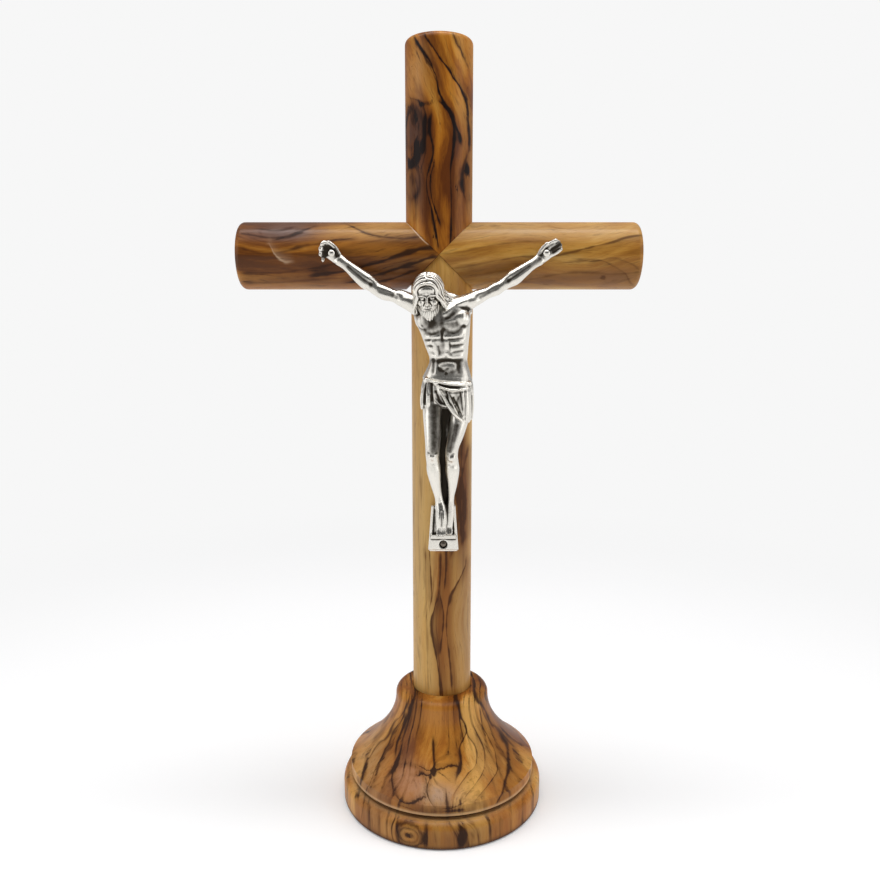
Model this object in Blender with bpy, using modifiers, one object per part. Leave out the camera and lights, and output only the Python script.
"""Free-standing cross of turned olive wood rods on a turned foot, with a small cast figure pinned to its front.

Four round rods meet at the crossing in 90 degree mitred points, each mitre held by a hidden dowel. The lower rod is
the post. It stands in a socket in the foot and is held there by a screw from beneath. The figure is one casting with
the plaque that its feet stand on, and three domed pins hold it: one in each palm and one in the plaque.

Units are metres, +Z is up and the front faces -Y. The origin is on the table, below the crossing.
"""

import math

import bmesh
import bpy
import numpy as np
from mathutils import Matrix, Vector

MM = 0.001

# Fits
JOINT_GAP = 0.3 * MM
DOWEL_END_ROOM = 0.5 * MM
EDGE_CHAMFER = 0.4 * MM

# Cross
TOTAL_HEIGHT = 250.0 * MM
CROSSBAR_SPAN = 126.1 * MM
CROSSBAR_HEIGHT = 185.4 * MM
ARM_DIAMETER = 20.96 * MM
POST_DIAMETER = 19.8 * MM
POST_SHIFT = 0.95 * MM
END_ROUNDING = 2.0 * MM
ROD_SIDES = 48

# Dowels across the mitres
DOWEL_DIAMETER = 3.0 * MM
DOWEL_LENGTH = 8.0 * MM
DOWEL_REACH = 7.5 * MM
DOWEL_SIDES = 16

# Foot, from the table up
DISC_DIAMETER = 68.96 * MM
DISC_HEIGHT = 8.66 * MM
DISC_TOP_ROUNDING = 2.7 * MM
GROOVE_DEPTH = 1.1 * MM
GROOVE_WIDTH = 1.27 * MM
RIM_DIAMETER = 63.66 * MM
RIM_HEIGHT = 3.77 * MM
COVE_HEIGHT = 23.32 * MM
NECK_DIAMETER = 31.82 * MM
COLLAR_HEIGHT = 3.06 * MM
COLLAR_ROUNDING = 3.0 * MM
SOCKET_DEPTH = 15.0 * MM
BASE_SIDES = 48
COVE_STEPS = 9

# Screw from beneath
SCREW_LENGTH = 40.0 * MM
SCREW_DIAMETER = 4.0 * MM
SCREW_HEAD_DIAMETER = 8.0 * MM
SCREW_POINT = 4.0 * MM
SCREW_RECESS = 8.0 * MM
COUNTERBORE_MARGIN = 1.0 * MM
SCREW_SIDES = 24

# Figure pins
PALM_PIN_X = 32.7 * MM
PALM_PIN_Z = 0.3 * MM
PIN_DIAMETER = 0.9 * MM
PIN_LENGTH = 9.0 * MM
PIN_HEAD_DIAMETER = 2.0 * MM
PIN_HEAD_HEIGHT = 0.6 * MM
PIN_SIDES = 12

# Figure: heights are measured from the crossbar's axis, fronts from the casting's flat back
FIGURE_UNIT = 1.0 * MM
SHOULDER_X = 8.6 * MM
PALM_THICKNESS = 1.7 * MM
PLAQUE_X = 1.35 * MM
PLAQUE_TOP = -78.6 * MM
PLAQUE_HEIGHT = 15.3 * MM
PLAQUE_TOP_WIDTH = 7.7 * MM
PLAQUE_BOTTOM_WIDTH = 9.8 * MM
PLAQUE_THICKNESS = 1.9 * MM
PLAQUE_RIM = 0.9 * MM
PLAQUE_PANEL_HEIGHT = 9.5 * MM
PLAQUE_PANEL_DEPTH = 0.8 * MM
LEDGE_HEIGHT = 1.3 * MM
LEDGE_REACH = 0.9 * MM
PLAQUE_BEVEL = 0.6 * MM
PLAQUE_PIN_INSET = 2.35 * MM
PLAQUE_HOLE_DIAMETER = 2.7 * MM
FIGURE_VOXEL = 0.3 * MM
FIGURE_DETAIL = 0.05

BASE_HEIGHT = DISC_HEIGHT + GROOVE_WIDTH + RIM_HEIGHT + COVE_HEIGHT + COLLAR_HEIGHT
SOCKET_FLOOR = BASE_HEIGHT - SOCKET_DEPTH
POST_FOOT = SOCKET_FLOOR + JOINT_GAP
TOP_LENGTH = TOTAL_HEIGHT - CROSSBAR_HEIGHT
ARM_LENGTH = CROSSBAR_SPAN / 2
POST_LENGTH = CROSSBAR_HEIGHT - POST_FOOT
FIGURE_BACK = -(max(ARM_DIAMETER, POST_DIAMETER) / 2 + JOINT_GAP)
PLAQUE_BACK = -(POST_DIAMETER / 2 + JOINT_GAP) - FIGURE_BACK
PLAQUE_PIN_Z = PLAQUE_TOP - PLAQUE_HEIGHT + PLAQUE_PIN_INSET


def clear_scene():
    for obj in list(bpy.data.objects):
        bpy.data.objects.remove(obj)


def new_collection(name):
    collection = bpy.data.collections.new(name)
    bpy.context.scene.collection.children.link(collection)
    return collection


def material(name, colour, roughness, metallic=0.0):
    made = bpy.data.materials.new(name)
    made.use_nodes = True
    shader = made.node_tree.nodes["Principled BSDF"]
    shader.inputs["Base Color"].default_value = (*colour, 1.0)
    shader.inputs["Roughness"].default_value = roughness
    shader.inputs["Metallic"].default_value = metallic
    made.diffuse_color = (*colour, 1.0)
    return made


def add_object(name, bm, collection, finish=None):
    mesh = bpy.data.meshes.new(name)
    bm.to_mesh(mesh)
    bm.free()
    if finish is not None:
        mesh.materials.append(finish)
    obj = bpy.data.objects.new(name, mesh)
    collection.objects.link(obj)
    return obj


def add_cutter(name, bm, cutters):
    obj = add_object(name, bm, cutters)
    obj.hide_render = True
    obj.display_type = "WIRE"
    return obj


def cut(obj, cutter, operation="DIFFERENCE"):
    modifier = obj.modifiers.new(cutter.name, "BOOLEAN")
    modifier.object = cutter
    modifier.operation = operation


def smooth(obj, angle=35.0):
    obj.data.shade_smooth()
    obj.data.set_sharp_from_angle(angle=math.radians(angle))


def turned(name, profile, sides, collection, finish=None):
    """A solid of revolution about its own Z from (radius, height) points that run down its outer side."""
    bm = bmesh.new()
    points = [bm.verts.new((radius, 0.0, height)) for radius, height in profile]
    for first, second in zip(points, points[1:]):
        bm.edges.new((first, second))
    if profile[0][0] > 0.0:
        bm.edges.new((points[-1], points[0]))
    obj = add_object(name, bm, collection, finish)
    screw = obj.modifiers.new("turn", "SCREW")
    screw.steps = sides
    screw.render_steps = sides
    screw.use_merge_vertices = True
    screw.merge_threshold = 0.01 * MM
    smooth(obj)
    return obj


def arc(centre, radius, start, end, steps):
    """Points on a circle in the profile plane, with angles in degrees counted from the outward direction."""
    found = []
    for step in range(steps + 1):
        angle = math.radians(start + (end - start) * step / steps)
        found.append((centre[0] + radius * math.cos(angle), centre[1] + radius * math.sin(angle)))
    return found


def cylinder(bm, radius, length, place, sides):
    """A capped cylinder along its own Z, centred, then placed by a matrix."""
    made = bmesh.ops.create_cone(
        bm, cap_ends=True, segments=sides, radius1=radius, radius2=radius, depth=length, matrix=place
    )
    return made["verts"]


def box(bm, low, high):
    size = Vector(high) - Vector(low)
    centre = (Vector(high) + Vector(low)) / 2
    place = Matrix.Translation(centre) @ Matrix.Diagonal((*size, 1.0))
    return bmesh.ops.create_cube(bm, size=1.0, matrix=place)["verts"]


def crossing():
    return Vector((0.0, 0.0, CROSSBAR_HEIGHT))


def mitre_places():
    """The middle of each mitre face, with its local Z square to the face, for the four quarters of the crossing."""
    places = []
    for quarter in range(4):
        turn = Matrix.Rotation(math.radians(90.0 * quarter), 4, "Y")
        reach = Matrix.Translation(Vector((1.0, 0.0, 1.0)).normalized() * DOWEL_REACH)
        square = Matrix.Rotation(math.radians(-45.0), 4, "Y")
        places.append(Matrix.Translation(crossing()) @ turn @ reach @ square)
    return places


def mitre_bores(cutters):
    bm = bmesh.new()
    for place in mitre_places():
        radius = DOWEL_DIAMETER / 2 + JOINT_GAP
        cylinder(bm, radius, DOWEL_LENGTH + 2 * DOWEL_END_ROOM, place, DOWEL_SIDES)
    return add_cutter("mitre_bores", bm, cutters)


def mitre_dowels(parts, finish):
    """One short dowel across each mitre; the four share one mesh."""
    bm = bmesh.new()
    cylinder(bm, DOWEL_DIAMETER / 2, DOWEL_LENGTH, Matrix.Identity(4), DOWEL_SIDES)
    first = None
    for quarter, place in zip(("top_right", "bottom_right", "bottom_left", "top_left"), mitre_places()):
        name = "mitre_dowel_" + quarter
        if first is None:
            first = add_object(name, bm, parts, finish)
            smooth(first)
            obj = first
        else:
            obj = bpy.data.objects.new(name, first.data)
            parts.objects.link(obj)
        obj.matrix_world = place


def pin_seats():
    """Where the underside of each pin's head lies: just in front of the palms, and inside the plaque's hole."""
    palm_front = FIGURE_BACK - PALM_THICKNESS - JOINT_GAP
    palm_height = CROSSBAR_HEIGHT + PALM_PIN_Z
    hole_floor = FIGURE_BACK - PLAQUE_THICKNESS / 2 - JOINT_GAP
    return {
        "left_palm_pin": Vector((-PALM_PIN_X, palm_front, palm_height)),
        "right_palm_pin": Vector((PALM_PIN_X, palm_front, palm_height)),
        "plaque_pin": Vector((PLAQUE_X, hole_floor, CROSSBAR_HEIGHT + PLAQUE_PIN_Z)),
    }


def pin_bores(cutters):
    """Holes for the pin shanks, through the casting and on into the wood."""
    bm = bmesh.new()
    length = PIN_LENGTH + JOINT_GAP
    for seat in pin_seats().values():
        middle = seat + Vector((0.0, length / 2, 0.0))
        place = Matrix.Translation(middle) @ Matrix.Rotation(math.radians(90.0), 4, "X")
        cylinder(bm, PIN_DIAMETER / 2 + JOINT_GAP, length, place, PIN_SIDES)
    return add_cutter("pin_bores", bm, cutters)


def corpus_pins(parts, finish):
    """Three domed pins, each a shank and a flat-bottomed head, driven in from the front."""
    dome = arc((0.0, 0.0), 1.0, 90.0, 0.0, 4)
    profile = [(PIN_HEAD_DIAMETER / 2 * x, PIN_HEAD_HEIGHT * z) for x, z in dome]
    profile += [(PIN_DIAMETER / 2, 0.0), (PIN_DIAMETER / 2, -PIN_LENGTH), (0.0, -PIN_LENGTH)]
    for name, seat in pin_seats().items():
        obj = turned(name, profile, PIN_SIDES, parts, finish)
        obj.location = seat
        obj.rotation_euler = (math.radians(90.0), 0.0, 0.0)


def rod(name, radius, length, axis, turn, cutters, parts, finish):
    """A round rod from the crossing outwards, mitred to a 90 degree point, its outer end rounded over."""
    end = arc((radius - END_ROUNDING, length - END_ROUNDING), END_ROUNDING, 90.0, 0.0, 4)
    profile = [(0.0, length)] + end + [(radius, 0.0), (0.0, 0.0)]
    obj = turned(name, profile, ROD_SIDES, parts, finish)
    obj.location = axis
    obj.rotation_euler = (0.0, math.radians(turn), 0.0)
    side = 3 * length
    bm = bmesh.new()
    bmesh.ops.create_cube(bm, size=side)
    wedge = add_cutter(name + "_mitre", bm, cutters)
    direction = Matrix.Rotation(math.radians(turn), 3, "Y") @ Vector((0.0, 0.0, 1.0))
    wedge.location = crossing() + direction * (JOINT_GAP / 2 + side / 2) * math.sqrt(2.0)
    wedge.rotation_euler = (0.0, math.radians(turn + 45.0), 0.0)
    cut(obj, wedge, "INTERSECT")
    return obj


def post(cutters, parts, finish):
    """The lower rod, with a pilot hole for the screw up its foot, which sits hidden in the socket."""
    radius = POST_DIAMETER / 2
    obj = rod("post", radius, POST_LENGTH, Vector((POST_SHIFT, 0.0, CROSSBAR_HEIGHT)), 180.0, cutters, parts, finish)
    bm = bmesh.new()
    pilot_top = SCREW_RECESS + SCREW_LENGTH + 2 * JOINT_GAP
    middle = Vector((POST_SHIFT, 0.0, (POST_FOOT + pilot_top) / 2 - JOINT_GAP))
    cylinder(
        bm,
        SCREW_DIAMETER / 2 + JOINT_GAP,
        pilot_top - POST_FOOT + 2 * JOINT_GAP,
        Matrix.Translation(middle),
        SCREW_SIDES,
    )
    cut(obj, add_cutter("screw_pilot", bm, cutters))
    return obj


def base(parts, finish):
    """The foot in one closed profile: disc, groove, rim, cove and collar outside; socket and screw hole inside."""
    disc = DISC_DIAMETER / 2
    rim = RIM_DIAMETER / 2
    neck = NECK_DIAMETER / 2
    socket = POST_DIAMETER / 2 + JOINT_GAP
    groove_top = DISC_HEIGHT + GROOVE_WIDTH
    rim_top = groove_top + RIM_HEIGHT
    neck_height = rim_top + COVE_HEIGHT
    lip = neck - COLLAR_ROUNDING
    profile = [(socket, BASE_HEIGHT - EDGE_CHAMFER), (socket + EDGE_CHAMFER, BASE_HEIGHT)]
    profile += arc((lip, neck_height + COLLAR_HEIGHT - COLLAR_ROUNDING), COLLAR_ROUNDING, 90.0, 0.0, 4)
    for step in range(COVE_STEPS + 1):
        share = step / COVE_STEPS
        profile.append((neck + (rim - neck) * share**2, neck_height - COVE_HEIGHT * share))
    profile.append((rim, groove_top))
    profile.append((rim - GROOVE_DEPTH, groove_top))
    profile.append((rim - GROOVE_DEPTH, DISC_HEIGHT))
    profile += arc((disc - DISC_TOP_ROUNDING, DISC_HEIGHT - DISC_TOP_ROUNDING), DISC_TOP_ROUNDING, 90.0, 0.0, 4)
    profile += [(disc, EDGE_CHAMFER), (disc - EDGE_CHAMFER, 0.0)]
    head = SCREW_HEAD_DIAMETER / 2 + JOINT_GAP
    shank = SCREW_DIAMETER / 2 + JOINT_GAP
    counterbore = head + COUNTERBORE_MARGIN
    seat = SCREW_RECESS + EDGE_CHAMFER
    profile += [(counterbore, 0.0), (counterbore, SCREW_RECESS), (head, SCREW_RECESS), (head, seat)]
    profile += [(shank, seat + head - shank), (shank, SOCKET_FLOOR), (socket, SOCKET_FLOOR)]
    obj = turned("base", profile, BASE_SIDES, parts, finish)
    obj.location = (POST_SHIFT, 0.0, 0.0)
    return obj


def base_screw(parts, finish):
    """A countersunk wood screw, head down, without its thread and drive."""
    head = SCREW_HEAD_DIAMETER / 2
    shank = SCREW_DIAMETER / 2
    profile = [(0.0, SCREW_LENGTH), (shank, SCREW_LENGTH - SCREW_POINT), (shank, head - shank + EDGE_CHAMFER)]
    profile += [(head, EDGE_CHAMFER), (head, 0.0), (0.0, 0.0)]
    obj = turned("base_screw", profile, SCREW_SIDES, parts, finish)
    obj.location = (POST_SHIFT, 0.0, SCREW_RECESS)
    return obj


def through(rows, steps):
    """Catmull-Rom points through hand-placed rows, with a given number of steps between two rows."""
    rows = np.array(rows, float)
    padded = np.vstack([2 * rows[0] - rows[1], rows, 2 * rows[-1] - rows[-2]])
    found = []
    for index in range(1, len(padded) - 2):
        before, start, end, after = padded[index - 1 : index + 3]
        for step in range(steps):
            t = step / steps
            found.append(
                0.5
                * (
                    2 * start
                    + (end - before) * t
                    + (2 * before - 5 * start + 4 * end - after) * t**2
                    + (3 * start - before - 3 * end + after) * t**3
                )
            )
    found.append(rows[-1])
    return np.array(found)


def limb(bm, rows, steps=4, sides=12, place=Matrix.Identity(4)):
    """A loft through rows of (x, front, z, half width, half depth) in figure units, closed by a dome at each end."""
    stations = through(rows, steps) * FIGURE_UNIT
    stations[:, 1] *= -1.0
    centres = stations[:, :3]
    tangents = np.gradient(centres, axis=0)
    tangents /= np.linalg.norm(tangents, axis=1, keepdims=True)
    sections = []
    for swell, offset in ((0.35, -0.9), (0.8, -0.6)):
        sections.append((0, swell, offset))
    for index in range(len(stations)):
        sections.append((index, 1.0, 0.0))
    for swell, offset in ((0.8, 0.6), (0.35, 0.9)):
        sections.append((len(stations) - 1, swell, offset))
    rings = []
    for index, swell, offset in sections:
        tangent = Vector(tangents[index])
        across = tangent.cross(Vector((0.0, 1.0, 0.0))).normalized()
        forward = across.cross(tangent).normalized()
        wide, deep = stations[index, 3:]
        centre = Vector(centres[index]) + tangent * offset * min(wide, deep)
        ring = []
        for side in range(sides):
            angle = 2 * math.pi * side / sides
            point = centre + across * wide * swell * math.cos(angle) + forward * deep * swell * math.sin(angle)
            ring.append(bm.verts.new(place @ point))
        rings.append(ring)
    for first, second in zip(rings, rings[1:]):
        for side in range(sides):
            after = (side + 1) % sides
            bm.faces.new((first[side], first[after], second[after], second[side]))
    bm.faces.new(reversed(rings[0]))
    bm.faces.new(rings[-1])


def blob(bm, centre, radii, place=Matrix.Identity(4)):
    """An ellipsoid from (x, front, z) and three half sizes in figure units."""
    where = Matrix.Translation(Vector((centre[0], -centre[1], centre[2])) * FIGURE_UNIT)
    size = Matrix.Diagonal((*(Vector(radii) * FIGURE_UNIT), 1.0))
    bmesh.ops.create_uvsphere(bm, u_segments=16, v_segments=10, radius=1.0, matrix=place @ where @ size)


def arm_rows(side, shares):
    """Arm stations from (share of the way from shoulder to palm, front, z, half width, half depth)."""
    rows = []
    for share, front, height, wide, deep in shares:
        x = side * (SHOULDER_X + (PALM_PIN_X - SHOULDER_X) * share) / FIGURE_UNIT
        rows.append((x, front, height, wide, deep))
    return rows


def trunk(bm):
    """Chest, waist and hips, then the web that fills the space behind the legs."""
    chest = [
        (1.6, 2.6, -13.2, 5.6, 2.4),
        (1.3, 3.0, -15.4, 8.6, 4.1),
        (1.2, 3.2, -18.3, 8.9, 5.2),
        (1.6, 3.3, -20.6, 8.2, 5.4),
        (2.0, 3.2, -23.2, 7.6, 5.0),
        (2.4, 3.0, -26.5, 6.9, 4.8),
        (2.8, 2.7, -29.6, 6.2, 4.4),
        (2.9, 2.5, -32.4, 5.9, 3.9),
        (2.8, 2.7, -35.2, 6.8, 4.2),
        (2.6, 2.9, -38.0, 7.9, 4.5),
    ]
    limb(bm, chest, sides=20)
    blob(bm, (-2.4, 5.6, -19.5), (4.2, 2.75, 3.4))
    blob(bm, (5.0, 5.6, -18.9), (4.3, 2.75, 3.4))
    blob(bm, (2.7, 4.4, -34.0), (3.9, 2.9, 3.4))
    limb(bm, [(-0.7, 3.6, -11.8, 2.7, 2.4), (0.6, 3.4, -16.0, 3.0, 2.6)])
    limb(bm, [(2.0, 0.4, -44.0, 4.0, 1.1), (1.4, 0.4, -60.0, 2.4, 1.1), (1.9, 0.4, -78.0, 1.8, 1.1)])


def arms(bm):
    """Deltoid, upper arm, elbow, forearm and wrist of each side, then the hands."""
    left = [
        (-0.15, 3.6, -16.2, 3.3, 3.2),
        (0.02, 3.2, -14.2, 2.7, 2.8),
        (0.14, 2.8, -12.9, 2.45, 2.4),
        (0.22, 2.3, -12.4, 1.95, 2.0),
        (0.34, 2.1, -11.5, 2.25, 2.1),
        (0.44, 1.9, -10.3, 2.0, 1.8),
        (0.50, 1.8, -9.0, 2.2, 1.9),
        (0.56, 1.9, -8.1, 2.5, 2.1),
        (0.68, 1.8, -5.8, 2.15, 1.9),
        (0.81, 1.4, -3.3, 1.65, 1.4),
        (0.91, 1.1, -1.6, 1.8, 1.2),
    ]
    right = [
        (-0.15, 3.6, -16.0, 3.3, 3.2),
        (0.04, 3.2, -13.9, 2.5, 2.8),
        (0.16, 2.7, -12.5, 2.2, 2.3),
        (0.26, 2.3, -11.5, 1.75, 1.9),
        (0.36, 2.1, -10.4, 2.05, 2.1),
        (0.45, 1.9, -9.1, 1.85, 1.8),
        (0.52, 1.8, -8.0, 2.1, 1.9),
        (0.59, 1.9, -6.9, 2.45, 2.1),
        (0.70, 1.8, -5.0, 2.05, 1.9),
        (0.82, 1.4, -3.0, 1.65, 1.4),
        (0.92, 1.1, -1.5, 1.8, 1.2),
    ]
    limb(bm, arm_rows(-1, left), sides=16)
    limb(bm, arm_rows(1, right), sides=16)
    bent = [
        ((0.6, 1.6), (1.9, 3.3), (2.9, 2.7)),
        ((0.9, 0.7), (2.7, 2.1), (3.5, 1.2)),
        ((0.9, -0.2), (2.8, 0.8), (3.5, -0.4)),
        ((0.7, -1.1), (2.4, -0.6), (2.6, -2.2)),
    ]
    hand(bm, -1, bent, [(-2.6, -0.9), (-1.2, 1.6), (0.8, 3.4)])
    stretched = [
        ((0.0, 1.9), (1.2, 3.1), (2.7, 3.9)),
        ((0.6, 1.2), (1.9, 2.2), (3.6, 3.4)),
        ((1.1, 0.3), (2.6, 1.2), (4.2, 2.4)),
        ((1.5, -0.6), (3.1, 0.2), (4.4, 1.2)),
    ]
    hand(bm, 1, stretched, [(-2.6, -0.9), (-1.5, 1.2), (0.0, 2.9)])


def hand(bm, side, fingers, thumb):
    """A cupped palm on its pin, four fingers side by side and a thumb, each through points (outward, up) from the pin."""
    palm = side * PALM_PIN_X / FIGURE_UNIT
    depth = PALM_THICKNESS / FIGURE_UNIT
    pin = PALM_PIN_Z / FIGURE_UNIT
    middle = depth / 2
    limb(bm, [(palm - side * 2.6, middle, pin - 2.2, 1.8, 1.0), (palm, middle, pin, 2.2, middle)])
    for root, knuckle, tip in fingers:
        rows = [
            (palm + side * root[0], middle, pin + root[1], 0.74, 0.8),
            (palm + side * knuckle[0], middle + 0.5, pin + knuckle[1], 0.7, 0.75),
            (palm + side * tip[0], middle + 1.2, pin + tip[1], 0.62, 0.65),
        ]
        limb(bm, rows, steps=3, sides=8)
    rows = []
    for (outward, up), front, size in zip(thumb, (0.2, 0.7, 0.9), (0.75, 0.7, 0.55)):
        rows.append((palm + side * outward, middle + front, pin + up, size, size))
    limb(bm, rows, steps=3, sides=8)


def legs(bm):
    """Bent legs side by side, then the crossed feet, one in front of the other, on the plaque's ledge."""
    left = [
        (-1.5, 2.6, -42.5, 3.2, 3.6),
        (-2.1, 3.4, -47.5, 3.0, 3.6),
        (-2.0, 4.4, -53.5, 2.7, 3.3),
        (-2.0, 5.2, -58.0, 2.35, 2.8),
        (-2.1, 5.2, -61.5, 2.15, 2.5),
        (-1.6, 4.0, -66.8, 2.3, 2.6),
        (-0.9, 3.2, -71.6, 1.75, 2.1),
        (-0.1, 2.8, -75.4, 1.45, 1.6),
        (0.4, 3.1, -78.6, 1.6, 1.7),
    ]
    right = [
        (6.9, 2.6, -45.0, 3.4, 3.6),
        (6.1, 3.4, -50.5, 3.1, 3.6),
        (5.2, 4.4, -55.1, 2.5, 3.2),
        (4.2, 5.1, -58.7, 2.05, 2.7),
        (3.9, 4.9, -61.5, 2.0, 2.4),
        (4.2, 3.7, -66.8, 2.2, 2.5),
        (4.1, 2.8, -71.6, 1.6, 2.0),
        (3.75, 2.2, -75.4, 1.15, 1.5),
        (3.6, 2.0, -78.5, 1.2, 1.5),
    ]
    limb(bm, left, sides=14)
    limb(bm, right, sides=14)
    blob(bm, (-2.2, 7.0, -61.4), (1.35, 1.1, 1.5))
    blob(bm, (3.9, 6.7, -62.0), (1.25, 1.0, 1.45))
    ledge = (PLAQUE_TOP - PLAQUE_PANEL_HEIGHT) / FIGURE_UNIT
    front = [(0.5, 3.2, -78.2, 1.6, 1.7), (0.7, 4.4, -82.0, 1.85, 1.5), (0.8, 5.0, ledge + 1.4, 1.7, 0.9)]
    behind = [(3.6, 2.0, -78.0, 1.3, 1.5), (3.3, 2.4, -82.0, 1.4, 1.3), (2.6, 2.9, ledge + 1.3, 1.6, 0.8)]
    limb(bm, front)
    limb(bm, behind)
    for toe in range(5):
        x = -0.5 + 0.62 * toe
        limb(bm, [(x, 5.0, ledge + 1.7, 0.36, 0.45), (x, 5.5, ledge + 0.6, 0.32, 0.4)], steps=2, sides=8)


def cloth(bm):
    """The loincloth: wrapped round the hips, a rolled belt, a knot with its tail, and the swept diagonal folds."""
    wrap = [
        (2.6, 2.8, -37.6, 7.6, 4.6),
        (2.6, 3.0, -40.0, 8.2, 5.2),
        (2.5, 3.1, -43.0, 8.3, 5.5),
        (2.6, 3.1, -46.2, 7.9, 5.3),
    ]
    limb(bm, wrap, sides=20)
    limb(bm, [(6.6, 3.0, -44.0, 4.0, 4.8), (7.4, 3.2, -48.0, 3.3, 4.4), (7.9, 3.2, -51.0, 2.7, 3.9)], sides=14)
    limb(bm, [(-3.0, 3.0, -44.0, 2.5, 4.2), (-3.0, 3.2, -46.6, 2.2, 4.0)], sides=14)
    belt = [
        (-3.9, 5.2, -37.2, 0.7, 0.8),
        (-2.0, 6.8, -38.4, 0.75, 0.9),
        (1.8, 7.9, -38.9, 0.75, 1.0),
        (6.0, 7.3, -39.3, 0.8, 1.0),
        (9.4, 4.9, -39.1, 0.8, 0.9),
    ]
    limb(bm, belt, sides=10)
    second = [(0.2, 7.9, -39.8, 0.5, 0.7), (4.2, 8.2, -41.2, 0.6, 0.8), (8.4, 6.3, -40.6, 0.6, 0.8)]
    limb(bm, second, sides=10)
    sweep = [
        (-0.6, 7.6, -40.4, 0.45, 0.7),
        (1.3, 8.3, -44.6, 0.55, 0.8),
        (3.1, 8.0, -47.6, 0.7, 0.9),
        (6.0, 6.9, -49.6, 0.75, 0.9),
    ]
    limb(bm, sweep, sides=10)
    inner = [(2.9, 8.2, -42.6, 0.4, 0.6), (4.0, 8.2, -45.4, 0.45, 0.7), (5.0, 7.6, -47.8, 0.45, 0.7)]
    limb(bm, inner, sides=10)
    limb(bm, [(9.0, 4.8, -41.6, 1.0, 1.4), (9.4, 4.8, -46.0, 1.0, 1.4), (9.2, 4.4, -50.4, 1.0, 1.3)], sides=10)
    blob(bm, (-3.6, 5.3, -37.9), (1.6, 1.5, 1.1))
    for fold in range(3):
        x = -5.0 + 1.25 * fold
        tail = [(-3.8 + 0.4 * fold, 5.4, -38.6, 0.5, 0.8), (x, 5.9, -42.0, 0.65, 0.9), (x, 5.4, -46.0, 0.6, 0.8)]
        limb(bm, tail, sides=10)


def head(bm):
    """The bowed head: skull, plain features on even proportions, short beard, and hair in falling locks."""
    place = (
        Matrix.Translation(Vector((-2.9, -7.3, -11.9)) * FIGURE_UNIT)
        @ Matrix.Rotation(math.radians(-13.0), 4, "Y")
        @ Matrix.Rotation(math.radians(22.0), 4, "X")
        @ Matrix.Rotation(math.radians(-8.0), 4, "Z")
    )
    blob(bm, (0.0, -0.5, 1.6), (4.1, 4.9, 4.5), place)
    blob(bm, (0.0, 1.4, -2.2), (3.2, 3.2, 4.2), place)
    blob(bm, (0.0, 3.6, 1.2), (2.5, 1.0, 0.55), place)
    limb(bm, [(0.0, 4.1, 1.0, 0.4, 0.4), (0.0, 5.0, -0.9, 0.6, 0.6)], steps=2, sides=8, place=place)
    for side in (-1, 1):
        blob(bm, (1.9 * side, 3.0, -1.1), (1.1, 1.2, 0.9), place)
        blob(bm, (1.35 * side, 3.5, 0.35), (0.8, 0.7, 0.5), place)
        limb(bm, [(0.3 * side, 4.6, -2.0, 0.35, 0.4), (1.4 * side, 3.9, -2.7, 0.3, 0.35)], steps=2, sides=8, place=place)
        fall = ((4.6, -1.4), (5.5, -3.6)) if side > 0 else ((4.2, -3.0), (4.0, -5.8))
        for strand in range(4):
            back = 1.3 * strand
            fan = (0.3 if side > 0 else 0.1) * strand
            lock = [
                (0.5 * side, 1.6 - back, 5.9 - 0.2 * strand, 0.8, 0.9),
                (3.2 * side, 2.2 - back, 4.2, 0.9, 1.0),
                (4.4 * side, 2.0 - back, 0.6, 0.9, 1.0),
                ((fall[0][0] + fan) * side, 1.7 - back, fall[0][1], 0.85, 0.9),
                ((fall[1][0] + 1.5 * fan) * side, 1.8 - back, fall[1][1] - fan, 0.6, 0.7),
            ]
            limb(bm, lock, sides=10, place=place)
    for strand in range(5):
        x = -1.6 + 0.8 * strand
        drop = 1.2 - 0.25 * abs(strand - 2)
        beard = [(x * 1.2, 3.2, -3.9, 0.6, 0.8), (x, 3.2, -5.6, 0.6, 0.9), (x * 0.7, 3.0, -5.8 - drop, 0.4, 0.5)]
        limb(bm, beard, steps=3, sides=8, place=place)


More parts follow.
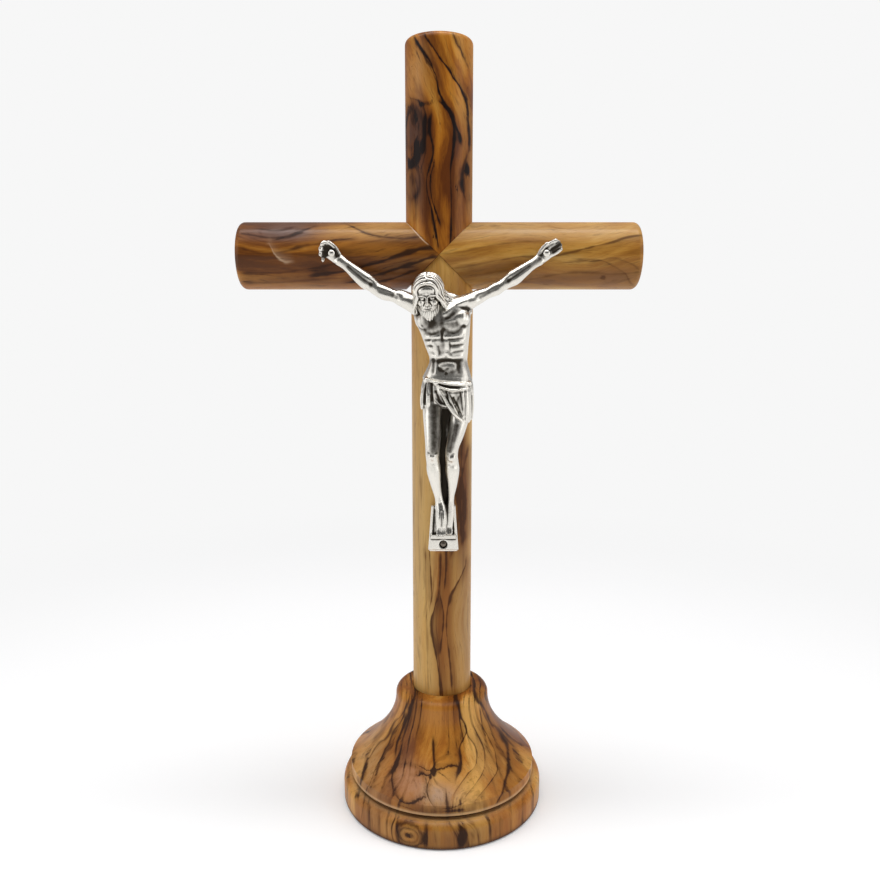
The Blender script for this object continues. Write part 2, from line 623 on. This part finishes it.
def plaque(cutters):
    """The tapered plate under the feet: sunk panel, side rims, a ledge, a bevelled lower edge and the pin's hole."""
    bm = bmesh.new()
    bottom = PLAQUE_TOP - PLAQUE_HEIGHT
    panel_floor = PLAQUE_TOP - PLAQUE_PANEL_HEIGHT

    def half(height, inset=0.0):
        share = (PLAQUE_TOP - height) / PLAQUE_HEIGHT
        return (PLAQUE_TOP_WIDTH + (PLAQUE_BOTTOM_WIDTH - PLAQUE_TOP_WIDTH) * share) / 2 - inset

    for vert in box(bm, (-1.0, -PLAQUE_THICKNESS, bottom), (1.0, PLAQUE_BACK, PLAQUE_TOP)):
        vert.co.x = PLAQUE_X + vert.co.x * half(vert.co.z)
    low_edges = [
        edge
        for edge in bm.edges
        if all(abs(vert.co.z - bottom) < JOINT_GAP / 10 for vert in edge.verts)
        and all(vert.co.y < 0.0 for vert in edge.verts)
    ]
    bmesh.ops.bevel(bm, geom=low_edges, offset=PLAQUE_BEVEL, segments=2, profile=0.5, affect="EDGES")
    plate = add_cutter("plaque_plate", bm, cutters)

    bm = bmesh.new()
    sunk = box(bm, (-1.0, -2 * PLAQUE_THICKNESS, panel_floor), (1.0, PLAQUE_PANEL_DEPTH - PLAQUE_THICKNESS, 0.0))
    for vert in sunk:
        height = min(vert.co.z, PLAQUE_TOP)
        vert.co.x = PLAQUE_X + vert.co.x * half(height, PLAQUE_RIM)
    cut(plate, add_cutter("plaque_panel", bm, cutters))

    bm = bmesh.new()
    ledge_floor = panel_floor - LEDGE_HEIGHT
    for vert in box(bm, (-1.0, -PLAQUE_THICKNESS - LEDGE_REACH, ledge_floor), (1.0, -PLAQUE_THICKNESS / 2, panel_floor)):
        vert.co.x = PLAQUE_X + vert.co.x * half(vert.co.z, PLAQUE_RIM / 2)
    cut(plate, add_cutter("plaque_ledge", bm, cutters), "UNION")

    bm = bmesh.new()
    depth = PLAQUE_THICKNESS / 2
    middle = Vector((PLAQUE_X, -PLAQUE_THICKNESS, PLAQUE_PIN_Z))
    place = Matrix.Translation(middle) @ Matrix.Rotation(math.radians(90.0), 4, "X")
    cylinder(bm, PLAQUE_HOLE_DIAMETER / 2, 2 * depth, place, 2 * PIN_SIDES)
    cut(plate, add_cutter("plaque_hole", bm, cutters))
    plate.location = (0.0, FIGURE_BACK, CROSSBAR_HEIGHT)
    for modifier in plate.modifiers:
        modifier.object.location = plate.location
    return plate


def corpus(bores, cutters, parts, finish):
    """The cast figure: its masses are fused to one skin, trimmed flat behind, and joined to the plaque."""
    bm = bmesh.new()
    trunk(bm)
    arms(bm)
    legs(bm)
    cloth(bm)
    head(bm)
    obj = add_object("corpus", bm, parts, finish)
    obj.location = (0.0, FIGURE_BACK, CROSSBAR_HEIGHT)
    fuse = obj.modifiers.new("fuse", "REMESH")
    fuse.mode = "VOXEL"
    fuse.voxel_size = FIGURE_VOXEL
    soften = obj.modifiers.new("soften", "SMOOTH")
    soften.factor = 0.5
    soften.iterations = 2
    thin = obj.modifiers.new("thin", "DECIMATE")
    thin.ratio = FIGURE_DETAIL
    bm = bmesh.new()
    reach = TOTAL_HEIGHT
    box(bm, (-reach, 0.0, -reach), (reach, reach, reach))
    trim = add_cutter("flat_back", bm, cutters)
    trim.location = obj.location
    cut(obj, trim)
    cut(obj, plaque(cutters), "UNION")
    cut(obj, bores)
    smooth(obj, 50.0)
    return obj


def main():
    clear_scene()
    parts = new_collection("olive_wood_cross")
    cutters = new_collection("cutters")
    golden = material("olive_wood_golden", (0.46, 0.25, 0.09), 0.42)
    dark = material("olive_wood_dark", (0.22, 0.10, 0.04), 0.42)
    tan = material("olive_wood_tan", (0.52, 0.31, 0.13), 0.42)
    red = material("olive_wood_red", (0.36, 0.17, 0.06), 0.42)
    beech = material("dowel_wood", (0.62, 0.46, 0.28), 0.6)
    steel = material("zinc_plated_steel", (0.62, 0.62, 0.58), 0.35, 1.0)
    silver = material("antique_silver", (0.72, 0.70, 0.66), 0.28, 1.0)

    bores = mitre_bores(cutters)
    pins = pin_bores(cutters)
    head_centre = crossing()
    arm_radius = ARM_DIAMETER / 2
    rods = [
        rod("top_arm", arm_radius, TOP_LENGTH, head_centre, 0.0, cutters, parts, red),
        rod("right_arm", arm_radius, ARM_LENGTH, head_centre, 90.0, cutters, parts, tan),
        rod("left_arm", arm_radius, ARM_LENGTH, head_centre, -90.0, cutters, parts, dark),
        post(cutters, parts, tan.copy()),
    ]
    for obj in rods:
        cut(obj, bores)
        cut(obj, pins)
    mitre_dowels(parts, beech)
    base(parts, golden)
    base_screw(parts, steel)
    corpus(pins, cutters, parts, silver)
    corpus_pins(parts, silver.copy())


if __name__ == "__main__":
    main()
